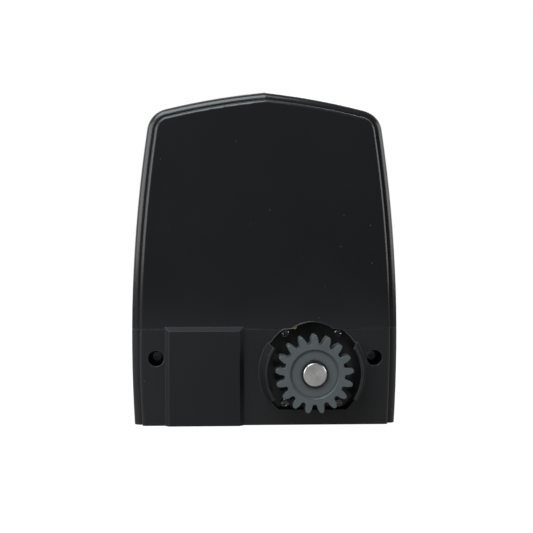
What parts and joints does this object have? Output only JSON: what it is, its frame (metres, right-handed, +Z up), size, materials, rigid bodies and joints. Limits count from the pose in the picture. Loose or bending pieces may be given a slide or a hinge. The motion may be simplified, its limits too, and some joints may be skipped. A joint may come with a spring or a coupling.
{
  "type": "sliding gate motor",
  "caption": "Motor unit for a sliding gate: a worm gearbox drives an output pinion for a toothed rack, under a moulded black casing with a hand release lever.",
  "frame": {"origin": "centre of the four anchor holes on the mounting face", "axes": "+X along the gate, -Y towards the gate (pinion side), +Y towards the house (release lever), +Z up"},
  "size_m": [0.265, 0.2295, 0.33],
  "materials": {
    "tray_plastic": "textured black moulding",
    "cover_plastic": "satin black moulding",
    "panel_plastic": "satin dark grey moulding",
    "lever_plastic": "grey moulding",
    "zinc_steel": "zinc plated",
    "dark_steel": "black oxide",
    "brass": "turned",
    "rubber": "matt",
    "cast_aluminium": "die cast",
    "black_paint": "semi-gloss black",
    "gear_steel": "phosphated",
    "spring_steel": "black oxide",
    "bright_steel": "ground",
    "bronze": "machined bronze",
    "lamination_steel": "stacked laminations",
    "copper_wire": "enamelled winding",
    "chrome_lock": "plated",
    "capacitor_case": "white case",
    "carrier_plastic": "moulded",
    "circuit_board": "solder mask",
    "component_black": "moulded",
    "terminal_green": "moulded",
    "fuse_glass": "clear tube",
    "button_red": "moulded"
  },
  "bodies": {
    "casing": {"base_tray": "tray_plastic", "release_housing": "tray_plastic", "top_cover": "cover_plastic", "rear_access_panel": "panel_plastic", "cover_screws": "dark_steel", "flange_screws": "dark_steel", "gearbox_feet_screws": "zinc_steel", "board_screws": "zinc_steel", "motor_bolts": "zinc_steel", "capacitor_clamp": "zinc_steel", "sensor_bracket": "zinc_steel", "anchor_bushes": "zinc_steel", "screw_inserts": "brass", "flange_dowel": "brass", "cable_grommet": "rubber", "shaft_seal": "rubber", "gearbox_housing": "cast_aluminium", "motor_end_bell": "cast_aluminium", "motor_shell": "cast_aluminium", "gearbox_flange": "black_paint", "front_output_bearing": "bright_steel", "rear_output_bearing": "bright_steel", "lower_worm_bearing": "bright_steel", "upper_worm_bearing": "bright_steel", "top_motor_bearing": "bright_steel", "lever_pin": "bright_steel", "stator_core": "lamination_steel", "transformer_core": "lamination_steel", "stator_windings": "copper_wire", "transformer_coil": "copper_wire", "run_capacitor": "capacitor_case", "board_carrier": "carrier_plastic", "control_board": "circuit_board", "board_relays": "component_black", "board_chips": "component_black", "fuse_holder": "component_black", "learn_button_base": "component_black", "limit_sensor": "component_black", "terminal_blocks": "terminal_green", "fuse": "fuse_glass"},
    "output": {"output_shaft": "bright_steel", "output_pinion": "gear_steel", "pinion_key": "bright_steel", "retaining_ring": "spring_steel", "clutch_spring": "spring_steel"},
    "clutch": {"clutch_ring": "bright_steel", "clutch_pin": "bright_steel", "clutch_rod": "bright_steel"},
    "wheel": {"worm_wheel": "bronze", "wheel_bush": "brass"},
    "rotor": {"worm_shaft": "bright_steel", "rotor_core": "lamination_steel"},
    "lever": {"release_lever": "lever_plastic"},
    "lock": {"lock_barrel": "chrome_lock", "lock_tongue": "lever_plastic"},
    "button": {"learn_button": "button_red"}
  },
  "joints": [
    {"name": "output_spin", "type": "hinge", "parent": "casing", "child": "output", "pos_m": [0.0465, 0, 0.053], "axis": [0, 1, 0], "continuous": true},
    {"name": "wheel_spin", "type": "hinge", "parent": "casing", "child": "wheel", "pos_m": [0.0465, 0, 0.053], "axis": [0, 1, 0], "continuous": true},
    {"name": "rotor_spin", "type": "hinge", "parent": "casing", "child": "rotor", "pos_m": [0.0015, -0.034, 0], "axis": [0, 0, 1], "continuous": true},
    {"name": "clutch_slide", "type": "slide", "parent": "output", "child": "clutch", "axis": [0, -1, 0], "range_m": [0, 0.006], "deforming": ["clutch_spring"]},
    {"name": "release_lever", "type": "hinge", "parent": "casing", "child": "lever", "pos_m": [0.0465, 0.086, 0], "axis": [0, 0, -1], "range_deg": [0, 90]},
    {"name": "key_turn", "type": "hinge", "parent": "lever", "child": "lock", "pos_m": [-0.03, 0, 0.053], "axis": [0, -1, 0], "range_deg": [0, 90]},
    {"name": "learn_button", "type": "slide", "parent": "casing", "child": "button", "axis": [0, -1, 0], "range_m": [0, 0.0005], "stiffness_N_per_m": 400}
  ],
  "couplings": [
    {"joint": "wheel_spin", "follows": "output_spin", "ratio": 1},
    {"joint": "rotor_spin", "follows": "output_spin", "ratio": -36},
    {"joint": "clutch_slide", "follows": "release_lever", "m_per_rad": 0.0038197}
  ]
}
